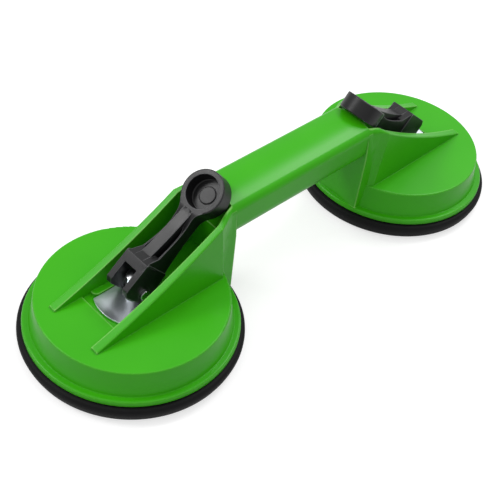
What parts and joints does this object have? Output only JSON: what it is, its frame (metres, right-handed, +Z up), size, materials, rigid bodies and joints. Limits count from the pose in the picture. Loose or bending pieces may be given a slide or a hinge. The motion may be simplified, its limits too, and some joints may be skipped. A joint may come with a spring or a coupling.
{
  "type": "floor tile suction lifter",
  "caption": "Suction lifter for tiles and panels: rubber cups under a green moulded housing with a raised grip, each drawn up by a black cam lever.",
  "frame": {"origin": "on the floor, midway between the cup axes", "axes": "+X along the grip, +Y across it, +Z up from the surface that the cups stand on"},
  "size_m": [0.334, 0.121, 0.0846],
  "materials": {
    "abs": "moulded, semi-gloss",
    "rubber": "moulded, dull",
    "steel": "turned and ground",
    "zinc": "bright zinc plate",
    "lever": "moulded, satin"
  },
  "bodies": {
    "housing": {"housing": "abs", "left_pad": "rubber", "right_pad": "rubber", "left_plate": "zinc", "right_plate": "zinc"},
    "left_draw": {"left_stud": "steel", "left_disc": "steel", "left_pin": "steel"},
    "left_lever": {"left_lever": "lever"},
    "right_draw": {"right_stud": "steel", "right_disc": "steel", "right_pin": "steel"},
    "right_lever": {"right_lever": "lever"}
  },
  "joints": [
    {"name": "left_draw_slide", "type": "slide", "parent": "housing", "child": "left_draw", "axis": [0, 0, 1], "range_m": [0, 0.006], "deforming": ["left_pad"]},
    {"name": "left_lever_turn", "type": "hinge", "parent": "left_draw", "child": "left_lever", "pos_m": [-0.1065, 0, 0.03555], "axis": [0, -1, 0], "range_deg": [0, 140]},
    {"name": "right_draw_slide", "type": "slide", "parent": "housing", "child": "right_draw", "axis": [0, 0, 1], "range_m": [0, 0.006], "deforming": ["right_pad"]},
    {"name": "right_lever_turn", "type": "hinge", "parent": "right_draw", "child": "right_lever", "pos_m": [0.1065, 0, 0.03555], "axis": [0, 1, 0], "range_deg": [0, 140]}
  ],
  "couplings": [
    {"joint": "left_draw_slide", "follows": "left_lever_turn", "m_per_rad": 0.002455},
    {"joint": "right_draw_slide", "follows": "right_lever_turn", "m_per_rad": 0.002455}
  ]
}
